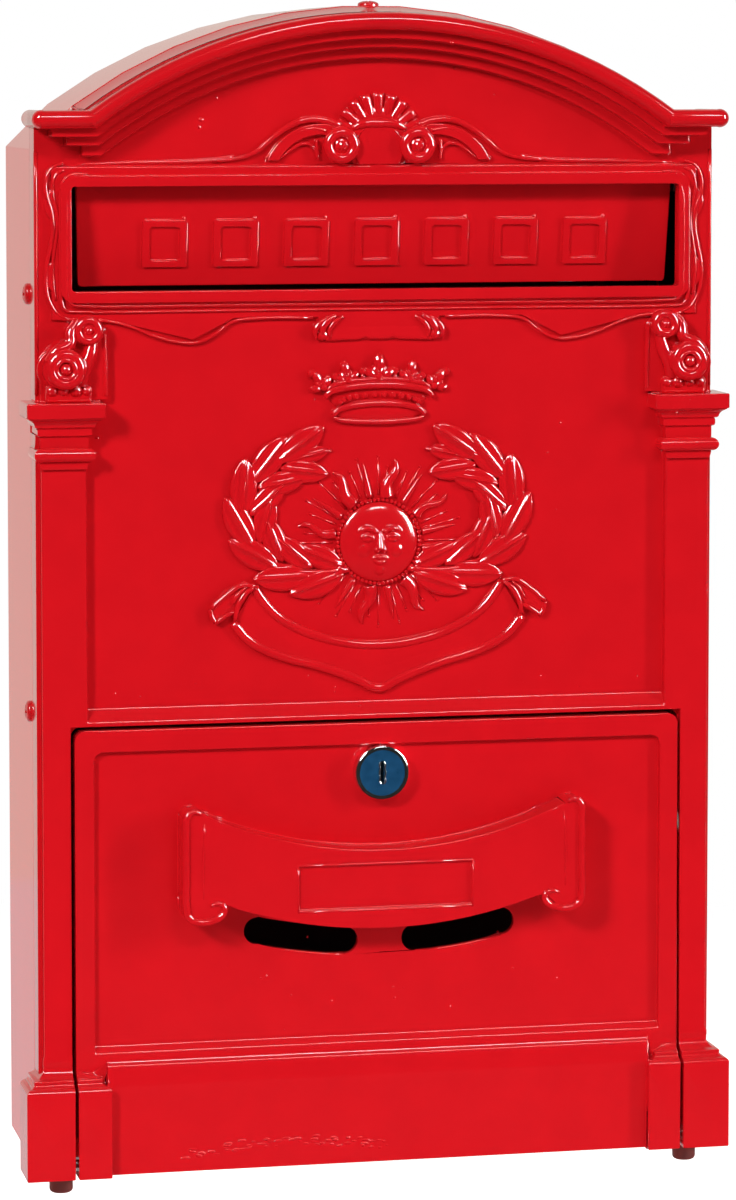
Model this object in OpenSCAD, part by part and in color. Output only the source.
// Wall-hung letter box: cast front with an arched cornice, folded sheet case,
// inward letter flap, bottom-hinged door with a cam lock.
// Working axes: X to the right, Y into the wall, Z up, zero on the front field at the bottom edge.
// Every part is then moved so that the origin is the centre of the wall screws on the back face.

/* [Overall] */
// Width across the casting's side faces
front_w = 245.8; // [210:0.2:320]
// Height of the cornice ledge's top
ledge_h = 376.9; // [350:0.1:460]
// Rise of the arch above the ledge
arch_rise = 34.3; // [26:0.1:44]
// Depth from the front field to the wall
case_d = 76; // [60:0.5:120]

/* [Casting] */
// Wall of the cast parts
cast_t = 2.6; // [2:0.1:3.2]
// Depth of the casting's rim behind the field
rim_d = 11; // [9:0.5:14]
// Depth of the tongue that enters the sheet case
tongue_d = 11; // [9:0.5:14]
// Pilaster width
pilaster_w = 16.1; // [14:0.1:20]
// Pilaster height above the field
pilaster_y = 3.5; // [2:0.1:5]
// Height of the plinth blocks' plain part
plinth_h = 30.8; // [26:0.1:36]
// Overhang of the plinth blocks
plinth_o = 7.1; // [5:0.1:8]
// Height of the top of the capitals, measured down from the ledge
cap_drop = 102; // [96:0.5:110]
// Overhang of the capitals
cap_o = 5.8; // [4.5:0.1:7]

/* [Cornice] */
// Thickness of the round nose
nose_d = 6.3; // [5:0.1:7.5]
// How far the nose stands in front of the field
nose_y = 16; // [12:0.5:18]
// Full height of the cornice
cornice_h = 16; // [14:0.5:18]

/* [Sheet case] */
// Sheet thickness
sheet_t = 1; // [0.7:0.1:1.5]
// Gap between the tongue and the sheet
sheet_gap = 0.3; // [0.2:0.1:0.5]
// Flats that make up the roof
roof_flats = 11; // [7:2:15]
// Height that the corner bevel takes off the shoulder
shoulder = 15.4; // [10:0.1:20]

/* [Letter slot] */
// Slot width
slot_w = 220; // [180:1:224]
// Slot height
slot_h = 36.7; // [30:0.1:44]
// Slot top, measured down from the ledge
slot_drop = 26.7; // [25:0.1:30]
// Gap between flap and slot sides
flap_gap = 1.6; // [1:0.1:3]
// Sideways play that the flap has taken up
flap_play = 0.8; // [0:0.1:0.9]
// Gap below the flap
flap_lift = 1.4; // [1:0.1:5]
// Flap wall
flap_t = 2.4; // [1.8:0.1:3]
// How far the flap sits behind the field
flap_y = 4.6; // [4.2:0.1:6]
// Rod of the flap
rod_d = 3; // [2.5:0.1:3.4]
// Angle at which the free flap hangs, its lower edge inwards
flap_hang = 6.5; // [4:0.1:8]

/* [Door] */
// Door height
door_h = 158.8; // [130:0.1:200]
// Gap round the door
split = 1.2; // [0.8:0.1:1.6]
// How far the door's border stands in front of the field
door_y = 4.5; // [3.5:0.1:5.5]
// Depth of the door's panel behind its border
panel_y = 2; // [1.5:0.1:2.5]
// Width of the door's border
border_w = 6.8; // [5:0.1:10]
// Hinge pin
pin_d = 3; // [2.5:0.1:3.6]
// Hinge pin height above the bottom edge
pin_z = 5; // [4.8:0.1:7]
// Lock height, measured down from the door's top
lock_drop = 17.8; // [16:0.1:24]
// Lock barrel
lock_d = 16; // [13:0.1:19.5]
// Lock barrel length behind the panel
lock_l = 19.5; // [17:0.5:24]

/* [Name band] */
// Half width of the band
band_hw = 73.1; // [60:0.1:80]
// How far the band stands in front of the field
band_y = 13.5; // [11:0.5:15]
// Height of the top corners of the band, measured down from the door's top
band_drop = 28.1; // [27.8:0.1:33]
// Sag of the band's top edge
band_sag = 16.2; // [12:0.1:18]
// Name recess width
name_w = 63; // [40:1:70]
// Inspection slot height
view_h = 9.8; // [7:0.1:11]

/* [Wall holes] */
// Spacing across
wall_dx = 180; // [140:1:200]
// Spacing up
wall_dz = 190; // [160:1:200]
// Hole diameter
wall_hole = 6; // [4:0.1:8]
// Height of the centre of the holes
wall_z = 200; // [180:1:220]

/* [Hidden] */
$fn = 96;
run_gap = 0.05;

paint = "crimson";
steel = "silver";

half_w = front_w / 2;

// Arch of the cornice: a circle through the apex and the two points where it leaves the ledge
arch_c = half_w - 17.9;
arch_r = (arch_c * arch_c + arch_rise * arch_rise) / (2 * arch_rise);
arch_z = ledge_h + arch_rise - arch_r;
apex_z = ledge_h + arch_rise;

// Sheet case
wrap_out = half_w - 0.1;
wrap_in = wrap_out - sheet_t;
tongue_out = wrap_in - sheet_gap;
wrap_y = rim_d + 0.6;
roof_r = arch_r + 2.7;
roof_a = asin((wrap_out - shoulder) / roof_r);
shoulder_z = arch_z + roof_r * cos(roof_a) - shoulder;

// Pilasters
pil_out = half_w - 1.5;
pil_in = pil_out - pilaster_w;
plinth_top = plinth_h + 12.7;
cap_top = ledge_h - cap_drop;
cap_bot = cap_top - 23.5;

// Letter slot and flap
slot_top = ledge_h - slot_drop;
slot_bot = slot_top - slot_h;
slot_mid = (slot_top + slot_bot) / 2;
flap_hw = slot_w / 2 - flap_gap;
flap_bot = slot_bot + flap_lift;
knuckle_r = rod_d / 2 + 1.9;
rod_y = flap_y + knuckle_r;
rod_z = slot_top + knuckle_r - 0.4;
knuckle_w = 14;
bracket_x = slot_w / 2 + 0.3;
bracket_t = 1.5;
bracket_y = cast_t + 4;
bracket_foot = 8.2;
screw_r = 1.5;
rod_end = bracket_x + bracket_t + 1.2;

// Door
door_hw = pil_in + 4.8;
hole_hw = door_hw + split;
hole_top = door_h + split;
field_y = panel_y - door_y;
door_back = 2.5;
pin_y = -6;
pin_in = door_hw - 6;
pin_out = hole_hw + 6;
boss_r = pin_d / 2 + 2.6;
lock_z = door_h - lock_drop;
lock_r = lock_d / 2;
bezel_r = lock_r + 1.75;
face_r = lock_r + 0.2;
plug_r = lock_r - 2;
lock_end = field_y + lock_l;
cam_t = 1.6;
cam_y = lock_end + 0.2;
cam_l = lock_drop + 8;
nut_t = 4;
washer_t = 0.8;

// Name band and inspection slots
band_top = door_h - band_drop;
band_bot = band_top - 34;
band_low = band_bot - 7.2;
end_w = 14.6;
view_r = 205;
view_z = band_top - 55.7 + view_r;
view_x0 = 8;
view_x1 = 49.5;

foot_x = hole_hw + 3.6;
foot_y = 1.7;
foot_r = 4.2;
foot_drop = 6.6;

side_z = [slot_bot - 1.5, door_h + 4.7];
side_y = rim_d + 6;

function arc(cx, cz, r, a0, a1, n = 8) =
    [for (i = [0:n]) let (a = a0 + (a1 - a0) * i / n) [cx + r * cos(a), cz + r * sin(a)]];
function flip(points) = [for (i = [len(points) - 1:-1:0]) points[i]];

// Move a part from the working axes to the wall-screw frame
module placed() {
    translate([0, -case_d, -wall_z])
        children();
}

// Raise a front view (X, Z) between two depths
module front_slab(y0, y1) {
    translate([0, y1, 0])
        rotate([90, 0, 0])
            linear_extrude(y1 - y0)
                children();
}

// Run a side view (Y, Z) from x0 to x1
module side_slab(x0, x1) {
    translate([x0, 0, 0])
        rotate([90, 0, 90])
            linear_extrude(x1 - x0)
                children();
}

module both_sides() {
    children();
    mirror([1, 0, 0])
        children();
}

// Round bar or hole along Y
module rod_along_y(r, y0, y1) {
    translate([0, y1, 0])
        rotate([90, 0, 0])
            cylinder(r = r, h = y1 - y0);
}

// Round bar or hole along X
module rod_along_x(r, x0, x1) {
    translate([x0, 0, 0])
        rotate([0, 90, 0])
            cylinder(r = r, h = x1 - x0);
}

// Rectangle with round corners
module round_rect(x0, z0, x1, z1, r) {
    translate([x0 + r, z0])
        square([x1 - x0 - 2 * r, z1 - z0]);
    translate([x0, z0 + r])
        square([x1 - x0, z1 - z0 - 2 * r]);
    for (x = [x0 + r, x1 - r], z = [z0 + r, z1 - r])
        translate([x, z])
            circle(r);
}

// Block whose front and two sides follow one moulding: profile is [height, overhang] from the bottom up
module moulded(x_in, x_out, y_face, y_back, profile) {
    last = len(profile) - 1;
    intersection() {
        front_slab(y_face - 20, y_back)
            polygon(concat(
                [for (p = profile) [x_out + p[1], p[0]]],
                [for (p = flip(profile)) [x_in - p[1], p[0]]]));
        side_slab(x_in - 20, x_out + 20)
            polygon(concat(
                [[y_back + 1, profile[0][0]]],
                [for (p = profile) [y_face - p[1], p[0]]],
                [[y_back + 1, profile[last][0]]]));
    }
}

// ---- cast front ----

// Outline of the casting, shrunk by the inset
module face_outline(inset = 0) {
    translate([-half_w + inset, 0])
        square([2 * (half_w - inset), ledge_h - 3 - inset]);
    intersection() {
        translate([0, arch_z])
            circle(arch_r - inset);
        translate([-arch_c + inset, ledge_h - 20])
            square([2 * (arch_c - inset), arch_rise + 30]);
    }
}

// Everything above the underside of one cornice step: the arch over the ledge, ending at x = end
module cornice_step(t, end) {
    difference() {
        union() {
            intersection() {
                translate([0, arch_z])
                    circle(arch_r - 0.2);
                translate([-arch_c, ledge_h - 1])
                    square([2 * arch_c, arch_rise + 20]);
            }
            translate([-end, ledge_h - t])
                square([2 * end, t - 0.4]);
        }
        translate([0, arch_z])
            circle(arch_r - t);
    }
}

// Round nose along the arch and the two ledges, with ball ends and short side returns
module cornice_nose() {
    r = nose_d / 2;
    y = r - nose_y;
    z = ledge_h - r;
    end = half_w + 2.3 - r;
    join = sqrt(pow(arch_r - r, 2) - pow(z - arch_z, 2));
    turn = asin(join / (arch_r - r)) + 0.4;
    translate([0, y, arch_z])
        rotate([90, 0, 0])
            rotate([0, 0, 90 - turn])
                rotate_extrude(angle = 2 * turn)
                    translate([arch_r - r, 0])
                        circle(r - 0.05, $fn = 40);
    both_sides()
        translate([0, y, z]) {
            rod_along_x(r, join - 1, end);
            translate([end, 0, 0])
                sphere(r + 0.15);
            translate([end, 0, 0])
                rod_along_y(r, 0, rim_d + 4 - y);
        }
}

module cornice() {
    r = nose_d / 2;
    cornice_nose();
    front_slab(r - nose_y, 0.5)
        cornice_step(nose_d, half_w - 1);
    front_slab(-11, 0.5)
        cornice_step(nose_d + 2.8, half_w - 4.9);
    front_slab(-7.5, 0.5)
        cornice_step(nose_d + 6, half_w - 10.4);
    front_slab(-3.5, 0.5)
        cornice_step(cornice_h, half_w - 16.4);
    // flat top of the ledge, back to the rim's edge
    both_sides()
        translate([arch_c - 3, r - nose_y, ledge_h - nose_d])
            cube([half_w + 2.3 - r - arch_c + 3, rim_d + nose_y - r, nose_d - 0.5]);
}

plinth_profile = concat(
    [[0, plinth_o], [plinth_h, plinth_o]],
    arc(plinth_h, plinth_o - 2, 2, 90, 0, 5),
    [[plinth_h + 3, plinth_o - 3]],
    [for (p = arc(plinth_h + 8.5, plinth_o - 3.2, 4, 180, 270, 6)) [p[0], p[1] + 0.4]],
    [[plinth_h + 9.5, plinth_o - 6.6], [plinth_h + 11, plinth_o - 6.6], [plinth_top, 0]]);

module plinth_block() {
    moulded(pil_in, pil_out, -pilaster_y, 9, plinth_profile);
}

cap_profile = concat(
    [[cap_bot, 0], [cap_bot + 2.2, 0.5]],
    arc(cap_bot + 5, 0.4, 2.4, 180, 0, 10),
    [[cap_bot + 7.6, 0.5], [cap_bot + 11.5, 0.5], [cap_bot + 12, 1.6], [cap_bot + 14.5, 1.6]],
    arc(cap_bot + 15, cap_o - 0.6, 2.6, 270, 350, 6),
    [[cap_top - 5.3, cap_o - 0.6], [cap_top - 5.2, cap_o], [cap_top, cap_o]]);

module capital() {
    moulded(pil_in, pil_out, -pilaster_y - 1.2, 0.5, cap_profile);
    intersection() {
        moulded(pil_in, pil_out, -pilaster_y - 1.2, rim_d - 1, cap_profile);
        translate([half_w - 1, -20, 0])
            cube([20, 60, ledge_h]);
    }
}

// Scroll bracket that stands on each capital
module console() {
    x0 = pil_in - cap_o + 0.8;
    small = [x0 + 5.8, cap_top + 24.6];
    big = [x0 + 14.6, cap_top + 11.2];
    front_slab(-2.4, 0.5) {
        translate([x0, cap_top - 0.5])
            square([5, 24]);
        translate(small)
            circle(5.6);
        translate(big)
            circle(7.6);
        translate([big[0] - 6.5, cap_top - 0.5])
            square([13, 8]);
        polygon([[small[0] - 4, small[1] - 4], [small[0] + 5, small[1] - 2], [big[0] + 4, big[1] + 6], [x0, big[1]]]);
    }
    translate([small[0], 0, small[1]])
        rod_along_y(4, -5.5, 0);
    translate([big[0], 0, big[1]])
        rod_along_y(6, -7.5, 0);
}

// Raised plaque round the slot: wavy sides, scalloped lower edge
module plaque_outline() {
    side = slot_w / 2 + 7;
    low = slot_bot - 10;
    dip = low - 7.5;
    difference() {
        union() {
            translate([-side, low])
                square([2 * side, slot_h + 17]);
            both_sides() {
                for (z = [slot_mid + 12, slot_mid - 13])
                    translate([side - 4, z])
                        circle(6.5);
                translate([slot_w / 2 - 43, 0])
                    polygon([[-15, low + 0.1], [0, dip], [31, low + 0.1]]);
            }
            translate([-22, dip])
                square([44, 8]);
        }
        both_sides()
            translate([side + 12.6, slot_mid])
                circle(12);
    }
}

module slot_opening(grow = 0) {
    round_rect(-slot_w / 2 - grow, slot_bot - grow, slot_w / 2 + grow, slot_top + grow, 1 + grow);
}

// Pediment ornament above the slot
module pediment_pads() {
    base = slot_top + 6.8;
    for (s = [-1, 1]) {
        translate([s * 13.8, base + 7.2])
            circle(5.6);
        intersection() {
            translate([s * 21, base - 6])
                difference() {
                    circle(21);
                    circle(17);
                }
            translate([s * 27 - 14, base + 2])
                square([28, 30]);
        }
    }
    difference() {
        translate([0, base + 6])
            circle(9);
        translate([-20, base - 10])
            square([40, 10.5]);
    }
}

// Leaf outline of a given length, tip up
module leaf_pad(l, w) {
    r = (l * l + w * w) / (4 * w);
    intersection() {
        translate([r - w / 2, 0])
            circle(r);
        translate([w / 2 - r, 0])
            circle(r);
    }
}

crest_z = slot_bot - 90;

// Crown, sun, laurel and ribbon of the crest, as flat pads
module crest_pads() {
    crown_z = crest_z + 42;
    polygon([[-16, crown_z], [16, crown_z], [23, crown_z + 15], [11, crown_z + 11], [0, crown_z + 20],
        [-11, crown_z + 11], [-23, crown_z + 15]]);
    translate([0, crest_z])
        circle(13);
    for (i = [0:15])
        translate([0, crest_z])
            rotate(i * 22.5)
                polygon([[12, -1.8], [24, 0], [12, 1.8]]);
    for (s = [-1, 1], i = [0:5], side = [-1, 1])
        translate([s * 24, crest_z + 13])
            rotate(s * (i * 34 - 80))
                translate([s * (21 + side * 5.5), 0])
                    rotate(side * s * -28)
                        leaf_pad(11, 4);
    difference() {
        intersection() {
            translate([0, crest_z + 80])
                circle(128);
            translate([-48, crest_z - 60])
                square([96, 38]);
        }
        translate([0, crest_z + 96])
            circle(134);
    }
}

// Catch for the lock cam, screw bosses and stops on the back of the casting
module casting_back() {
    both_sides() {
        translate([bracket_x + bracket_t + bracket_foot / 2, 0, rod_z])
            rod_along_y(2.8, cast_t - 0.5, bracket_y);
        side_slab(tongue_out - cast_t, tongue_out)
            polygon([[rim_d - 1, 8], [rim_d + tongue_d, 8], [rim_d + tongue_d, shoulder_z - 6],
                [rim_d - 1, shoulder_z - 6]]);
        for (z = side_z)
            translate([0, side_y, z])
                rod_along_x(3.6, tongue_out - 6, tongue_out - 0.5);
    }
    translate([-20, cast_t - 0.5, hole_top + 0.5])
        cube([40, cam_y - cast_t - 0.1, 3]);
    // band behind the cornice nose, flush with the roof
    front_slab(1.5, rim_d)
        difference() {
            intersection() {
                wrap_outline(0.1);
                translate([-half_w, ledge_h - 4])
                    square([2 * half_w, arch_rise + 20]);
            }
            wrap_outline(cast_t + 1);
        }
    // tongue under the roof, which also takes the roof screw
    front_slab(rim_d - 1, rim_d + tongue_d)
        intersection() {
            translate([0, arch_z])
                difference() {
                    circle(roof_flat_in() - sheet_gap);
                    circle(arch_r - cast_t);
                }
            translate([9 - arch_c, ledge_h])
                square([2 * (arch_c - 9), arch_rise + 20]);
        }
}

// Distance from the arch centre to the inner side of the top roof flat
function roof_flat_in() = roof_r * cos(roof_a / roof_flats) - sheet_t;

module casting_holes() {
    both_sides() {
        translate([bracket_x + bracket_t + bracket_foot / 2, 0, rod_z])
            rod_along_y(screw_r, cast_t, bracket_y + 1);
        for (z = side_z)
            translate([0, side_y, z])
                rod_along_x(screw_r, half_w - 8, half_w + 1);
        translate([0, pin_y, pin_z])
            rod_along_x(pin_d / 2, hole_hw - 1, pin_out);
        translate([foot_x, foot_y, -1])
            cylinder(r = 2.4, h = 7);
    }
    translate([0, side_y, apex_z - 10])
        cylinder(r = screw_r, h = 20);
}

module front_casting() {
    color(paint)
        placed()
            difference() {
                union() {
                    front_slab(0, cast_t)
                        face_outline();
                    difference() {
                        front_slab(0, rim_d)
                            face_outline();
                        front_slab(-1, rim_d + 1)
                            face_outline(cast_t);
                    }
                    cornice();
                    both_sides() {
                        translate([pil_in, -pilaster_y, hole_top])
                            cube([pilaster_w, pilaster_y + 0.5, cap_bot - hole_top + 1]);
                        translate([hole_hw, -pilaster_y, plinth_h])
                            cube([pil_out - hole_hw, pilaster_y + 0.5, hole_top - plinth_h + 1]);
                        capital();
                        console();
                        // plinth half with its cheek, bottom web and hinge boss
                        intersection() {
                            plinth_block();
                            translate([hole_hw, -30, 0])
                                cube([40, 60, ledge_h]);
                        }
                        translate([hole_hw, -1, 0])
                            cube([cast_t, rim_d + 1, hole_top + cast_t]);
                    }
                    // rail over the door, sloped to the field
                    side_slab(-pil_in - 1, pil_in + 1)
                        polygon([[0.5, hole_top], [-pilaster_y, hole_top], [-pilaster_y, hole_top + 1.5],
                            [0, hole_top + 6], [0.5, hole_top + 6]]);
                    translate([-hole_hw, 0, hole_top])
                        cube([2 * hole_hw, rim_d - 4, cast_t]);
                    front_slab(-1.2, 0.5)
                        plaque_outline();
                    front_slab(-3, 0.5)
                        difference() {
                            slot_opening(4);
                            slot_opening(-1);
                        }
                    front_slab(-1.8, 0.5)
                        pediment_pads();
                    front_slab(-0.8, 0.5)
                        crest_pads();
                    casting_back();
                }
                // door opening, slot, hollow of the plinth halves
                front_slab(-30, 60)
                    round_rect(-hole_hw, -20, hole_hw, hole_top, 4.6);
                front_slab(-30, 60)
                    slot_opening();
                both_sides()
                    translate([hole_hw + 8, -pilaster_y - plinth_o + cast_t, 6])
                        cube([pil_out + plinth_o - hole_hw - 8 - cast_t, 40, plinth_h - 8]);
                casting_holes();
            }
}

// ---- sheet case ----

// Front view of the case: straight sides, bevelled shoulders, faceted roof, shrunk by the inset
module wrap_outline(inset = 0) {
    hw = wrap_out - inset;
    bend = inset * tan(22.5);
    step = 2 * roof_a / roof_flats;
    polygon(concat(
        [[hw, 0], [hw, shoulder_z - bend]],
        [for (i = [0:roof_flats]) let (a = roof_a - i * step)
            [(roof_r - inset) * sin(a), arch_z + (roof_r - inset) * cos(a)]],
        [[-hw, shoulder_z - bend], [-hw, 0]]));
}

module body_wrap() {
    color(paint)
        placed()
            difference() {
                front_slab(wrap_y, case_d)
                    wrap_outline();
                translate([0, 0, -1])
                    front_slab(wrap_y - 1, case_d + 1)
                        union() {
                            translate([0, 1])
                                wrap_outline(sheet_t);
                            translate([-wrap_in, -1])
                                square([2 * wrap_in, 20]);
                        }
                both_sides()
                    for (z = side_z)
                        translate([0, side_y, z])
                            rod_along_x(screw_r + 0.4, wrap_in - 2, wrap_out + 1);
                translate([0, side_y, apex_z - 10])
                    cylinder(r = screw_r + 0.4, h = 30);
            }
}

module back_plate() {
    gap = sheet_t + 0.15;
    color(paint)
        placed()
            difference() {
                union() {
                    front_slab(case_d - sheet_t, case_d)
                        wrap_outline(gap);
                    both_sides()
                        translate([wrap_out - gap - sheet_t, case_d - 10, 14])
                            cube([sheet_t, 10, shoulder_z - 24]);
                }
                for (x = [-wall_dx / 2, wall_dx / 2], z = [-wall_dz / 2, wall_dz / 2])
                    translate([x, 0, wall_z + z])
                        rod_along_y(wall_hole / 2, case_d - 5, case_d + 1);
            }
}

module floor_tray() {
    hw = wrap_in - 0.15;
    front = rim_d + tongue_d + 1;
    color(paint)
        placed()
            difference() {
                union() {
                    translate([-hw, front, 0])
                        cube([2 * hw, case_d - sheet_t - 0.2 - front, sheet_t]);
                    translate([-hw, front, 0])
                        cube([2 * hw, sheet_t, 7]);
                    translate([-hw, case_d - sheet_t * 2 - 0.2, 0])
                        cube([2 * hw, sheet_t, 10]);
                    both_sides()
                        translate([hw - sheet_t, front, 0])
                            cube([sheet_t, case_d - sheet_t - 0.2 - front, 10]);
                }
                // drain holes
                for (x = [-70, 0, 70])
                    translate([x, (front + case_d) / 2, -1])
                        cylinder(r = 3, h = 4);
            }
}

module side_screws() {
    color(paint)
        placed()
            both_sides()
                for (z = side_z)
                    translate([0, side_y, z])
                        pan_screw(wrap_out, 3.75, 8);
}

// Pan-head screw along X: the head stands on x = seat and the shank runs inwards
module pan_screw(seat, head_r, l) {
    difference() {
        union() {
            translate([seat, 0, 0])
                rotate([0, 90, 0])
                    rotate_extrude()
                        polygon(concat([[0, 0], [head_r, 0]],
                            [for (i = [0:6]) [head_r * cos(15 * i), 0.7 + 1.3 * sin(15 * i)]]));
            rod_along_x(screw_r, seat - l, seat + 0.1);
        }
        translate([seat + 1, -2.4, -0.5])
            cube([2, 4.8, 1]);
        translate([seat + 1, -0.5, -2.4])
            cube([2, 1, 4.8]);
    }
}

module roof_screw() {
    color(paint)
        placed()
            translate([0, side_y, arch_z + roof_flat_in() + sheet_t])
                rotate([0, -90, 0])
                    pan_screw(0, 3.75, 8);
}

// ---- letter flap ----

// Generic raised tablets on the flap, one frame for each
module flap_relief() {
    for (i = [-3:3])
        translate([i * 25.5, 0, 0])
            front_slab(flap_y - 1, flap_y + 0.5)
                difference() {
                    round_rect(-8, slot_bot + 8, 8, slot_bot + 25, 1);
                    round_rect(-5.4, slot_bot + 10.6, 5.4, slot_bot + 22.4, 0.8);
                }
}

// Flap plate, slightly narrower at its lower edge
module flap_plate() {
    low_hw = flap_hw - 1.3;
    front_slab(flap_y, flap_y + flap_t)
        polygon(concat(
            [[flap_hw, rod_z], [-flap_hw, rod_z]],
            arc(-low_hw + 1.5, flap_bot + 1.5, 1.5, 180, 270, 4),
            arc(low_hw - 1.5, flap_bot + 1.5, 1.5, 270, 360, 4)));
    // lower stiffening lip
    translate([-low_hw + 2, flap_y + flap_t - 0.2, flap_bot])
        cube([2 * low_hw - 4, 2.2, 2]);
}

module letter_flap() {
    end = flap_hw - knuckle_w / 2 - 0.5;
    color(paint)
        placed()
            translate([flap_play, rod_y, rod_z])
                rotate([flap_hang, 0, 0])
                    difference() {
                        union() {
                            translate([0, -rod_y, -rod_z]) {
                                flap_plate();
                                flap_relief();
                            }
                            for (x = [-end, -35, 35, end])
                                translate([x, 0, 0])
                                    rod_along_x(knuckle_r, -knuckle_w / 2, knuckle_w / 2);
                        }
                        rod_along_x(rod_d / 2 + run_gap, -flap_hw - 1, flap_hw + 1);
                    }
}

module flap_rod() {
    color(steel)
        placed()
            translate([0, rod_y, rod_z])
                rod_along_x(rod_d / 2, -rod_end, rod_end);
}

module flap_bracket() {
    x1 = bracket_x + bracket_t + bracket_foot;
    difference() {
        union() {
            translate([bracket_x, flap_y + 0.4, rod_z - 6])
                cube([bracket_t, rod_y - flap_y + 4.4, 12]);
            translate([bracket_x, bracket_y, rod_z - 6])
                cube([x1 - bracket_x, bracket_t, 12]);
        }
        translate([0, rod_y, rod_z])
            rod_along_x(rod_d / 2, bracket_x - 1, bracket_x + bracket_t + 1);
        translate([bracket_x + bracket_t + bracket_foot / 2, 0, rod_z])
            rod_along_y(screw_r + 0.3, bracket_y - 1, bracket_y + 4);
        // room for the rod's end and its clip
        translate([bracket_x + bracket_t, rod_y - 3.4, rod_z - 3.4])
            cube([3, 6.8, 6.8]);
    }
}

module flap_bracket_left() {
    color(steel)
        placed()
            mirror([1, 0, 0])
                flap_bracket();
}

module flap_bracket_right() {
    color(steel)
        placed()
            flap_bracket();
}

module bracket_screws() {
    color(steel)
        placed()
            both_sides()
                translate([bracket_x + bracket_t + bracket_foot / 2, 0, rod_z]) {
                    rod_along_y(screw_r, cast_t + 0.4, bracket_y + bracket_t + 0.1);
                    difference() {
                        rod_along_y(2.6, bracket_y + bracket_t, bracket_y + bracket_t + 1.8);
                        translate([-0.4, bracket_y + bracket_t + 1, -3])
                            cube([0.8, 2, 6]);
                    }
                }
}

module rod_clips() {
    color(steel)
        placed()
            both_sides()
                translate([0, rod_y, rod_z])
                    difference() {
                        rod_along_x(3, bracket_x + bracket_t + 0.2, bracket_x + bracket_t + 1);
                        rod_along_x(rod_d / 2, bracket_x, bracket_x + 5);
                    }
}

// ---- door ----

// Band over the inspection slots: sagging top and bottom edges, round lower ends
module band_outline() {
    inner = band_hw - end_w;
    top_r = (pow(band_hw - 4, 2) + band_sag * band_sag) / (2 * band_sag);
    low_sag = 10.5;
    low_r = (inner * inner + low_sag * low_sag) / (2 * low_sag);
    difference() {
        translate([-band_hw + 2, band_bot - low_sag])
            square([2 * band_hw - 4, band_top - band_bot + low_sag - 1]);
        translate([0, band_top - band_sag + top_r])
            circle(top_r);
        difference() {
            translate([-inner, band_bot - 40])
                square([2 * inner, 40]);
            translate([0, band_bot - low_sag + low_r])
                circle(low_r);
        }
        both_sides()
            translate([inner, band_bot - 40])
                square([40, 40]);
    }
    for (s = [-1, 1])
        translate([s * (band_hw + inner) / 2 - end_w / 2, 0])
            round_rect(0, band_low, end_w, band_bot + 8, end_w / 2 - 0.5);
    for (s = [-1, 1])
        translate([s * (band_hw - 4) - 4, 0])
            round_rect(0, band_bot, 8, band_top, 3);
}

// Pair of curved slots that show whether there is mail
module view_slots() {
    mid = view_r - view_h / 2;
    for (s = [-1, 1]) {
        difference() {
            intersection() {
                translate([0, view_z])
                    circle(view_r);
                translate([s * (view_x0 + view_x1) / 2 - (view_x1 - view_x0 - view_h) / 2, view_z - view_r - 5])
                    square([view_x1 - view_x0 - view_h, 40]);
            }
            translate([0, view_z])
                circle(view_r - view_h);
        }
        for (x = [view_x0 + view_h / 2, view_x1 - view_h / 2])
            translate([s * x, view_z - sqrt(mid * mid - x * x)])
                circle(view_h / 2 - 0.02);
    }
}

module name_band() {
    difference() {
        front_slab(-band_y, field_y + 0.5)
            band_outline();
        // hollow behind the band, open below
        translate([-band_hw + end_w, -band_y + cast_t, band_low - 10])
            cube([2 * (band_hw - end_w), band_y + field_y - cast_t, band_top - band_sag - band_low + 6]);
        translate([-name_w / 2, -band_y - 1, band_top - 37])
            cube([name_w, 1.9, 15.4]);
    }
}

module door_panel() {
    in_hw = door_hw - border_w;
    in_top = door_h - border_w - 1;
    foot_in = pil_in - plinth_o;
    color(paint)
        placed()
            difference() {
                union() {
                    // skin with its border and rim
                    front_slab(-door_y, door_back)
                        round_rect(-door_hw, 0, door_hw, door_h, 4);
                    both_sides()
                        intersection() {
                            plinth_block();
                            translate([0, -30, 0])
                                cube([door_hw, 30 + door_back, ledge_h]);
                        }
                    // stepped plinth panel between the blocks
                    side_slab(-foot_in - 1, foot_in + 1)
                        polygon([[0, 0.3], [-door_y - 2.6, 0.3], [-door_y - 2.6, plinth_h + 3.4],
                            [-door_y - 1.4, plinth_h + 5.4], [-door_y - 1.4, plinth_h + 8.4],
                            [-door_y - 0.6, plinth_h + 9.2], [-door_y + 1, plinth_top], [0, plinth_top]]);
                }
                // field inside the border
                difference() {
                    front_slab(-door_y - 20, field_y)
                        polygon(concat(
                            [[-in_hw, plinth_top], [in_hw, plinth_top]],
                            arc(in_hw - 3, in_top - 3, 3, 0, 90, 6),
                            arc(-in_hw + 3, in_top - 3, 3, 90, 180, 6)));
                    side_slab(-door_hw, door_hw)
                        polygon([[field_y + 1, 0], [-20, 0], [-20, plinth_top], [-door_y, plinth_top],
                            [field_y, plinth_top + 2.4], [field_y + 1, plinth_top + 2.4]]);
                }
                // hollow back
                translate([-door_hw + cast_t, field_y + cast_t - 0.2, plinth_top])
                    cube([2 * (door_hw - cast_t), 20, door_h - plinth_top - cast_t]);
                translate([-foot_in + 1, -door_y - 2.6 + cast_t, 12])
                    cube([2 * foot_in - 2, 20, plinth_h - 14]);
                front_slab(-30, 30)
                    view_slots();
                translate([0, 0, lock_z])
                    rod_along_y(lock_r + 0.1, -30, 30);
                both_sides()
                    translate([0, pin_y, pin_z])
                        rod_along_x(pin_d / 2 + run_gap, pin_in - 0.5, door_hw + 1);
            }
    color(paint)
        placed()
            name_band();
}

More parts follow.
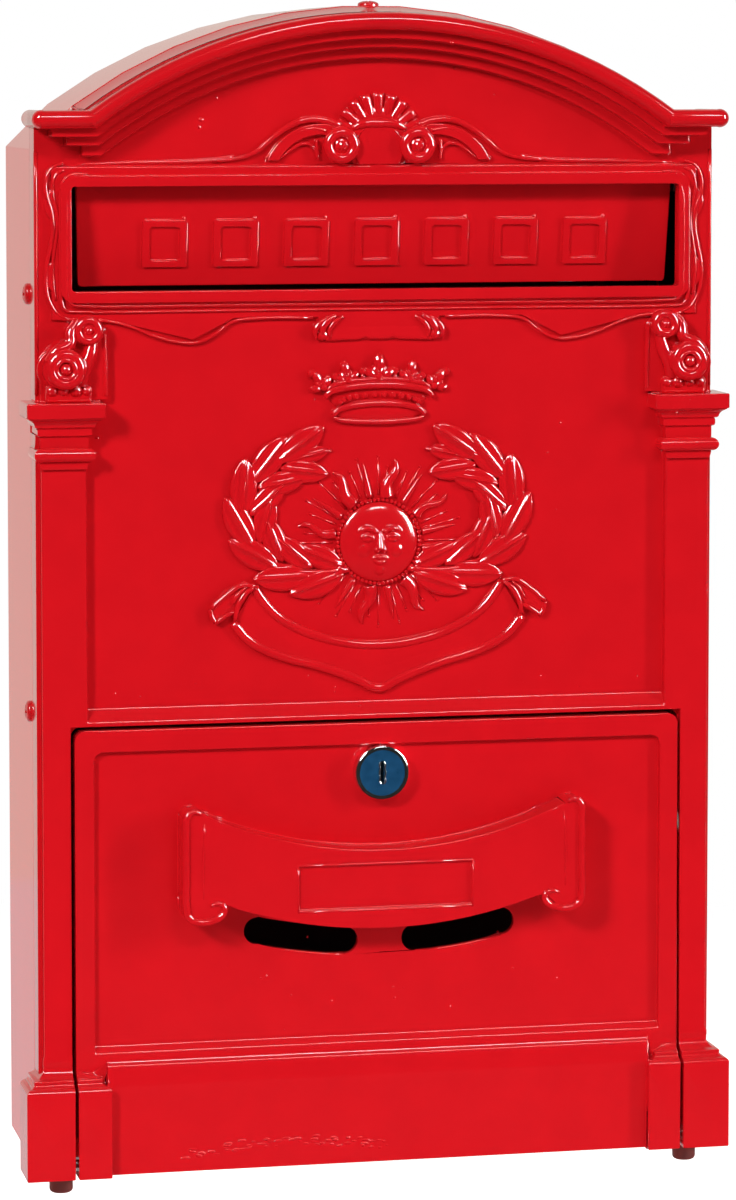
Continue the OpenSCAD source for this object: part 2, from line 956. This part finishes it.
module hinge_pin() {
    translate([0, pin_y, pin_z])
        rod_along_x(pin_d / 2, pin_in, pin_out);
}

module hinge_pin_left() {
    color(steel)
        placed()
            mirror([1, 0, 0])
                hinge_pin();
}

module hinge_pin_right() {
    color(steel)
        placed()
            hinge_pin();
}

// Round foot plug under each end of the casting
module foot() {
    translate([foot_x, foot_y, 0])
        rotate_extrude()
            polygon(concat(
                [[0, 5.5], [0, -foot_drop]],
                arc(foot_r - 1.4, -foot_drop + 1.4, 1.4, 270, 360, 5),
                [[foot_r, 0], [2.4, 0], [2.4, 5.5]]));
}

module foot_left() {
    color("firebrick")
        placed()
            mirror([1, 0, 0])
                foot();
}

module foot_right() {
    color("firebrick")
        placed()
            foot();
}

// ---- lock ----

module lock_housing() {
    color(steel)
        placed()
            translate([0, 0, lock_z])
                difference() {
                    union() {
                        rod_along_y(bezel_r - 0.6, field_y - 5, field_y);
                        rod_along_y(bezel_r, field_y - 4, field_y);
                        rod_along_y(lock_r, field_y - 1, lock_end);
                    }
                    rod_along_y(face_r + run_gap, field_y - 6, field_y - 3);
                    rod_along_y(plug_r + run_gap, field_y - 6, lock_end + 1);
                }
}

module lock_washer() {
    back = field_y + cast_t - 0.2;
    color(steel)
        placed()
            translate([0, 0, lock_z])
                difference() {
                    rod_along_y(lock_r + 3, back, back + washer_t);
                    rod_along_y(lock_r + 0.1, back - 1, back + 5);
                }
}

module lock_nut() {
    back = field_y + cast_t - 0.2 + washer_t;
    color(steel)
        placed()
            translate([0, back + nut_t, lock_z])
                rotate([90, 0, 0])
                    difference() {
                        cylinder(r = lock_r + 3.2, h = nut_t, $fn = 6);
                        translate([0, 0, -1])
                            cylinder(r = lock_r, h = nut_t + 2);
                    }
}

module lock_plug() {
    color("midnightblue")
        placed()
            translate([0, 0, lock_z])
                difference() {
                    union() {
                        rod_along_y(face_r, field_y - 4.8, field_y - 3);
                        rod_along_y(plug_r, field_y - 3.5, lock_end);
                        translate([-3, lock_end - 0.5, -3])
                            cube([6, cam_y + cam_t - lock_end + 0.5, 6]);
                    }
                    translate([-0.7, field_y - 6, -4.2])
                        cube([1.4, 12, 8.4]);
                    rod_along_y(1.5, cam_y + cam_t - 8, cam_y + cam_t + 1);
                }
}

// Cam at rest points to the left; a quarter turn brings it up behind the catch
module lock_cam() {
    color(steel)
        placed()
            difference() {
                union() {
                    translate([0, 0, lock_z])
                        rod_along_y(7, cam_y, cam_y + cam_t);
                    translate([-cam_l, cam_y, lock_z - 6])
                        cube([cam_l, cam_t, 12]);
                }
                translate([-3, cam_y - 1, lock_z - 3])
                    cube([6, cam_t + 2, 6]);
            }
}

module cam_screw() {
    back = cam_y + cam_t;
    color(steel)
        placed()
            translate([0, 0, lock_z])
                difference() {
                    union() {
                        rod_along_y(4.6, back, back + 2);
                        rod_along_y(1.5, back - 7, back + 0.1);
                    }
                    translate([-3, back + 1.1, -0.5])
                        cube([6, 2, 1]);
                }
}

front_casting();
body_wrap();
back_plate();
floor_tray();
letter_flap();
flap_rod();
flap_bracket_left();
flap_bracket_right();
bracket_screws();
rod_clips();
door_panel();
hinge_pin_left();
hinge_pin_right();
foot_left();
foot_right();
side_screws();
roof_screw();
lock_housing();
lock_washer();
lock_nut();
lock_plug();
lock_cam();
cam_screw();
